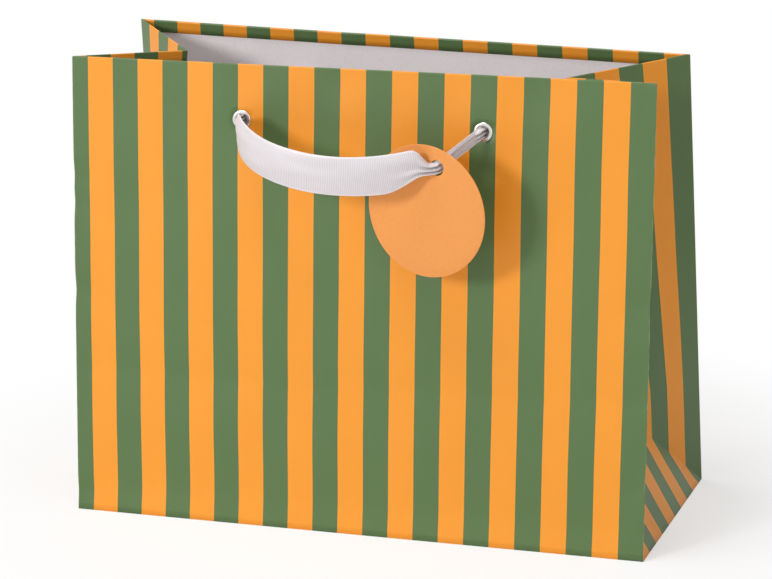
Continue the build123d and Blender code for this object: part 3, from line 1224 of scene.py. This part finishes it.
@dataclass
class RibbonKnot:
    """The knot that stops a ribbon behind its eyelet, with its cut tail."""

    eyelets: EyeletForm
    side: Side
    face: Face
    lobe: float = 1.12 * MM
    strand: float = 1.55 * MM
    depth: float = 7.2 * MM
    tail_width: float = 11 * MM
    tail_length: float = 17 * MM
    slant: float = 4 * MM
    thickness: float = 0.4 * MM
    points: int = 48

    def build(self, ribbon: bpy.types.Material) -> list[bpy.types.Object]:
        """Build the knot and its tail.

        Args:
            ribbon: Their material.

        Returns:
            The knot and the tail.
        """
        stem = f"{label(self.face)}_{label(self.side)}"
        matrix = self.eyelets.frame(self.side, self.face) @ Matrix.Translation((0.0, 0.0, -self.depth))
        return [self._knot(f"{stem}_knot", matrix, ribbon), self._tail(f"{stem}_tail", matrix, ribbon)]

    def _knot(self, name: str, matrix: Matrix, ribbon: bpy.types.Material) -> bpy.types.Object:
        """Build the knot as a strand that runs through itself."""
        curve = bpy.data.curves.new(name, "CURVE")
        curve.dimensions = "3D"
        curve.bevel_depth = self.strand
        curve.bevel_resolution = 3
        line = curve.splines.new("POLY")
        line.points.add(self.points - 1)
        for i, point in enumerate(line.points):
            turn = 2 * math.pi * i / self.points
            x = math.sin(turn) + 2 * math.sin(2 * turn)
            y = math.cos(turn) - 2 * math.cos(2 * turn)
            point.co = (x * self.lobe, y * self.lobe, -math.sin(3 * turn) * self.lobe * 1.3, 1.0)
        line.use_cyclic_u = True
        holder = bpy.data.objects.new(name + "_line", curve)
        bpy.context.scene.collection.objects.link(holder)
        bpy.context.view_layer.update()
        bm = bmesh.new()
        tube = bpy.data.meshes.new_from_object(holder.evaluated_get(bpy.context.evaluated_depsgraph_get()))
        bm.from_mesh(tube)
        bpy.data.objects.remove(holder)
        bpy.data.meshes.remove(tube)
        bmesh.ops.remove_doubles(bm, verts=bm.verts, dist=0.001 * MM)
        bmesh.ops.recalc_face_normals(bm, faces=bm.faces)
        flat = {v: (math.atan2(v.co.y, v.co.x) * self.lobe * 3, v.co.z) for v in bm.verts}
        add_uv(bm, flat)
        bmesh.ops.transform(bm, matrix=matrix, verts=bm.verts)
        return make_piece(name, bm, [ribbon], sharp=60.0)

    def _tail(self, name: str, matrix: Matrix, ribbon: bpy.types.Material) -> bpy.types.Object:
        """Build the short flat end that hangs from the knot, cut on the slant."""
        columns, rows = 16, 26
        bm, places = grid(columns, rows)
        heart = matrix.translation
        inward = -(matrix.to_3x3() @ UP)
        flat = {}
        for vert, (column, row) in places.items():
            share, down = 2 * column / columns - 1, row / rows
            length = (self.tail_length + self.slant * share) * down
            half = self.tail_width / 2 * (0.3 + 0.7 * smooth(down * 1.6))
            curl = inward * (2.2 * MM * math.sin(2.4 * down) - 0.8 * MM * share**2 * down)
            vert.co = heart + Vector((half * share, 0.0, -length)) + curl
            flat[vert] = (length, half * share)
        add_uv(bm, flat)
        piece = make_piece(name, bm, [ribbon], sharp=180.0)
        thicken(piece, self.thickness, offset=0.0)
        return piece


# ---- gift tag ----------------------------------------------------------------------------------
@dataclass
class GiftTag:
    """A round card with a hole, slightly bowed, that hangs plumb from the front ribbon."""

    loop: LoopForm
    tag_angle: float
    turn: float = 14.5
    lean: float = 17.5
    radius: float = 31 * MM
    hole: float = 3.6 * MM
    hole_drop: float = 22 * MM
    card: float = 0.5 * MM
    bow: float = 0.9 * MM
    steps: int = 96
    rings: int = 9

    def build(self, card: bpy.types.Material) -> bpy.types.Object:
        """Build the tag.

        Args:
            card: Its material.

        Returns:
            The tag in its place.
        """
        bm = bmesh.new()
        rim = bmesh.ops.create_circle(bm, segments=self.steps, radius=self.radius)["verts"]
        hole = bmesh.ops.create_circle(bm, segments=self.steps, radius=self.hole)["verts"]
        bmesh.ops.translate(bm, vec=(0.0, self.hole_drop, 0.0), verts=hole)
        edges = list({e for v in rim + hole for e in v.link_edges})
        bridge = bmesh.ops.bridge_loops(bm, edges=edges)
        across = [e for e in bridge["edges"] if e.is_valid]
        bmesh.ops.subdivide_edges(bm, edges=across, cuts=self.rings, use_grid_fill=True)
        bmesh.ops.recalc_face_normals(bm, faces=bm.faces)
        if next(iter(bm.faces)).normal.z < 0:
            bmesh.ops.reverse_faces(bm, faces=bm.faces)
        for vert in bm.verts:
            vert.co.z = -self.bow * (vert.co.x / self.radius) ** 2 + 0.3 * self.bow * vert.co.y / self.radius
        hole_point = self.loop.point(self.tag_angle)
        turn = math.radians(self.turn)
        outward = Vector((-math.sin(turn), -math.cos(turn), 0.0))
        level, lean = UP.cross(outward), math.radians(self.lean)
        toward_hole = UP * math.cos(lean) + level * math.sin(lean)
        matrix = frame_matrix(hole_point - toward_hole * self.hole_drop, toward_hole.cross(outward), outward)
        bmesh.ops.transform(bm, matrix=matrix, verts=bm.verts)
        piece = make_piece("round_tag", bm, [card], sharp=60.0)
        thicken(piece, self.card, offset=0.0)
        edge = piece.modifiers.new("soft_edge", "BEVEL")
        edge.width = 0.08 * MM
        edge.segments = 2
        edge.limit_method = "ANGLE"
        edge.angle_limit = math.radians(60)
        return piece


# ---- the bag ---------------------------------------------------------------------------------------
@dataclass
class Finishes:
    """Every material of the bag."""

    printed: bpy.types.Material
    plain: bpy.types.Material
    card: bpy.types.Material
    board: bpy.types.Material
    metal: bpy.types.Material
    ribbon: bpy.types.Material
    tag: bpy.types.Material

    @classmethod
    def mixed(cls) -> "Finishes":
        """Build all the finishes and return them."""
        white, fleck = srgb(236, 229, 230), srgb(214, 206, 208)
        return cls(
            printed=StripedPrint().build(FORM.folds),
            plain=PlainStock("white_paper", white, fleck).build(),
            card=PlainStock("white_card", srgb(243, 236, 237), fleck, roughness=0.68).build(),
            board=PlainStock("grey_board", srgb(205, 202, 198), srgb(150, 146, 140), 0.4).build(),
            metal=NickelPlate().build(),
            ribbon=RibbedRibbon().build(),
            tag=PlainStock("tag_card", srgb(233, 153, 80), srgb(222, 134, 60), 0.3, 0.6).build(),
        )


@dataclass
class GiftBag:
    """The whole bag: sheet, linings, bottom, eyelets, ribbons, knots and tag."""

    form: SheetForm
    finishes: Finishes
    tag_angle: float = 138.5
    end_gap: float = 4 * MM
    board_height: float = 45 * MM
    board_top_gap: float = 1.1 * MM
    board_depth: float = 0.32 * MM
    board_card: float = 0.5 * MM
    seam_width: float = 14 * MM
    seam_top_gap: float = 46 * MM
    seam_depth: float = 0.3 * MM
    seam_paper: float = 0.24 * MM
    bend_past_pivot: float = 1.5 * MM

    def build(self) -> None:
        """Build every sub-assembly and fix each piece but the two ribbon handles to its body."""
        self.build_sheet()
        self.build_linings()
        self.build_bottom()
        self.build_eyelets()
        self.build_handles()
        self.build_tag()

    def fix(self, piece: bpy.types.Object, body: str, slot: str, *nodes: str) -> None:
        """Make a piece ride on its body and stand for its nodes.

        Args:
            piece: The piece.
            body: Body that it moves with.
            slot: Not used.
            *nodes: CAD nodes that it stands for.
        """
        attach(piece, body)
        if nodes:
            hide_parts(*nodes)
        LOG.info("%s on %s", piece.name, body)

    def build_sheet(self) -> None:
        """Fold the printed sheet, which stands for walls, gussets and hems."""
        piece = PrintedSheet(self.form).build(self.finishes.printed, self.finishes.plain)
        nodes = ["front_wall", "back_wall", "front_rim_hem", "back_rim_hem"]
        for side in Side:
            nodes.append(f"{label(side)}_gusset_foot")
            for face in Face:
                stem = f"{label(side)}_gusset_{label(face)}"
                nodes += [f"{stem}_upper_leaf", f"{stem}_lower_leaf", f"{stem}_hem"]
        self.fix(piece, "bag", "striped_paper", *nodes)

    def build_linings(self) -> None:
        """Add both rim cards, the glued seam and the card in the bottom."""
        w, d, h = self.form.width, self.form.depth, self.form.height
        starts = {Face.FRONT: self.end_gap, Face.BACK: w + d + self.end_gap}
        for face, start in starts.items():
            heights = (h - self.board_height, h - self.board_top_gap)
            name = f"{label(face)}_rim_board"
            span = (start, start + w - 2 * self.end_gap)
            holes = [c for c in EyeletForm(self.form).flat_centres() if span[0] < c[0] < span[1]]
            liner = Liner(name, self.form, span, heights, self.board_depth, self.board_card, holes)
            self.fix(liner.build(self.finishes.card), "bag", "white_card", f"{label(face)}_rim_card")
        seam_end = 2 * w + d - self.end_gap
        span, heights = (seam_end - self.seam_width, seam_end), (self.end_gap, h - self.seam_top_gap)
        seam = Liner("seam_strip", self.form, span, heights, self.seam_depth, self.seam_paper)
        self.fix(seam.build(self.finishes.plain), "bag", "plain_paper", "back_seam_flap")
        self.dress_node("base_card", self.finishes.board)

    def build_bottom(self) -> None:
        """Add the two long flaps and the two end flaps of the bottom."""
        f = self.finishes
        for name, face, slot in (
            ("bottom_outer_flap", Face.FRONT, "striped_paper"),
            ("bottom_inner_flap", Face.BACK, "plain_paper"),
            ("left_bottom_end_flap", None, "plain_paper"),
            ("right_bottom_end_flap", None, "plain_paper"),
        ):
            low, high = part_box(name)
            flap = BottomFlap(name.replace("bottom", "base"), low, high, face, self.form)
            materials = [f.printed, f.plain] if face else [f.plain]
            self.fix(flap.build(materials), "bag", slot, name)

    def build_eyelets(self) -> None:
        """Add the four eyelets and give their washers the same metal."""
        sizes = EyeletForm(self.form)
        for face in Face:
            for side in Side:
                stem = f"{label(face)}_{label(side)}"
                piece = Eyelet(sizes, side, face).build(self.finishes.metal)
                self.fix(piece, "bag", "eyelet_metal", f"{stem}_eyelet")
                self.dress_node(f"{stem}_eyelet_washer", self.finishes.metal)

    def build_handles(self) -> None:
        """Add both ribbon handles and their knots."""
        sizes = EyeletForm(self.form)
        for face in Face:
            loop = LoopForm(sizes, face)
            handle = RibbonHandle(loop, self.tag_angle if face is Face.FRONT else None)
            piece = handle.build(self.finishes.ribbon)
            middle = (loop.pivot(Side.LEFT) + loop.pivot(Side.RIGHT)) / 2
            along = loop.pivot(Side.RIGHT) - loop.pivot(Side.LEFT)
            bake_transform(piece)
            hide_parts(f"{label(face)}_ribbon_handle")
            LOG.info("%s, %.0f mm long", piece.name, handle.length / MM)
            for side in Side:
                stem = f"{label(face)}_{label(side)}"
                knot, tail = RibbonKnot(sizes, side, face).build(self.finishes.ribbon)
                self.fix(knot, "bag", "ribbon", f"{stem}_ribbon_knot")
                self.fix(tail, "bag", "ribbon")

    def build_tag(self) -> None:
        """Hang the round tag on the front ribbon."""
        loop = LoopForm(EyeletForm(self.form), Face.FRONT)
        piece = GiftTag(loop, self.tag_angle).build(self.finishes.tag)
        self.fix(piece, "tag", "tag_card", "gift_tag")

    def dress_node(self, node: str, material: bpy.types.Material) -> None:
        """Give a CAD node a finish.

        Args:
            node: Name of the node.
            material: Its finish.
        """
        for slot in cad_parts[node].material_slots:
            slot.material = material
        LOG.info("%s dressed in %s", node, material.name)


# ---- studio ---------------------------------------------------------------------------------------
@dataclass
class Studio:
    """Camera, lamps, floor and background."""

    focal_length: float = 159.0
    azimuth: float = 18.49
    elevation: float = 16.27
    roll: float = -1.25
    distance: float = 1.628
    target: Vector = field(default_factory=lambda: Vector((-0.0009, 0.0, 0.1032)))
    sky: float = 0.37

    def build(self) -> None:
        """Set up the whole studio."""
        self.add_camera()
        self.add_lamp("key", Vector((-1.05, -1.75, 0.85)), 0.45, 18.5)
        self.add_lamp("fill", Vector((1.6, -1.3, 0.9)), 1.2, 3.0)
        self.add_lamp("top", Vector((-0.25, -0.3, 1.9)), 0.8, 18.0)
        self.add_floor()
        self.add_world()
        bpy.context.scene.view_settings.view_transform = "Standard"

    def add_camera(self) -> None:
        """Place the camera on its ray from the bag and turn it to look back."""
        data = bpy.data.cameras.new("camera")
        data.lens = self.focal_length
        data.sensor_width = 36.0
        data.clip_end = 20.0
        camera = bpy.data.objects.new("camera", data)
        turn, rise = math.radians(self.azimuth), math.radians(self.elevation)
        back = Vector((math.sin(turn) * math.cos(rise), -math.cos(turn) * math.cos(rise), math.sin(rise)))
        aim = (-back).to_track_quat("-Z", "Y").to_matrix() @ Matrix.Rotation(math.radians(self.roll), 3, "Z")
        camera.matrix_world = Matrix.Translation(self.target + back * self.distance) @ aim.to_4x4()
        bpy.context.scene.collection.objects.link(camera)
        bpy.context.scene.camera = camera

    def add_lamp(self, name: str, place: Vector, size: float, power: float) -> None:
        """Add a square soft lamp that faces the bag.

        Args:
            name: Name of the lamp.
            place: Where it hangs.
            size: Length of its side.
            power: Power in watts.
        """
        data = bpy.data.lights.new(name, "AREA")
        data.size, data.energy = size, power
        lamp = bpy.data.objects.new(name, data)
        aim = (self.target - place).to_track_quat("-Z", "Y")
        lamp.matrix_world = Matrix.Translation(place) @ aim.to_matrix().to_4x4()
        bpy.context.scene.collection.objects.link(lamp)

    def add_floor(self) -> None:
        """Lay a large plain floor under the bag."""
        bm = bmesh.new()
        bmesh.ops.create_grid(bm, x_segments=2, y_segments=2, size=6.0)
        floor = make_piece("studio_floor", bm, [StudioSweep().build()])

    def add_world(self) -> None:
        """Light the scene evenly and show plain white behind it."""
        world = bpy.data.worlds.new("studio_world")
        bpy.context.scene.world = world
        world.use_nodes = True
        tree = world.node_tree
        tree.nodes.clear()
        rays = tree.nodes.new("ShaderNodeLightPath")
        seen = tree.nodes.new("ShaderNodeMath")
        seen.operation = "MAXIMUM"
        through = tree.nodes.new("ShaderNodeMath")
        through.operation = "MAXIMUM"
        light, white = (tree.nodes.new("ShaderNodeBackground") for _ in range(2))
        light.inputs["Strength"].default_value = self.sky
        light.inputs["Color"].default_value = (1.0, 1.0, 1.0, 1.0)
        white.inputs["Color"].default_value = (1.0, 1.0, 1.0, 1.0)
        mixed = tree.nodes.new("ShaderNodeMixShader")
        output = tree.nodes.new("ShaderNodeOutputWorld")
        tree.links.new(rays.outputs["Is Camera Ray"], seen.inputs[0])
        tree.links.new(rays.outputs["Is Glossy Ray"], seen.inputs[1])
        tree.links.new(seen.outputs[0], through.inputs[0])
        tree.links.new(rays.outputs["Is Transmission Ray"], through.inputs[1])
        tree.links.new(through.outputs[0], mixed.inputs[0])
        tree.links.new(light.outputs[0], mixed.inputs[1])
        tree.links.new(white.outputs[0], mixed.inputs[2])
        tree.links.new(mixed.outputs[0], output.inputs["Surface"])


def main() -> None:
    """Build the studio and the bag, and report each piece."""
    Studio().build()
    GiftBag(FORM, Finishes.mixed()).build()


if __name__ == "__main__":
    main()
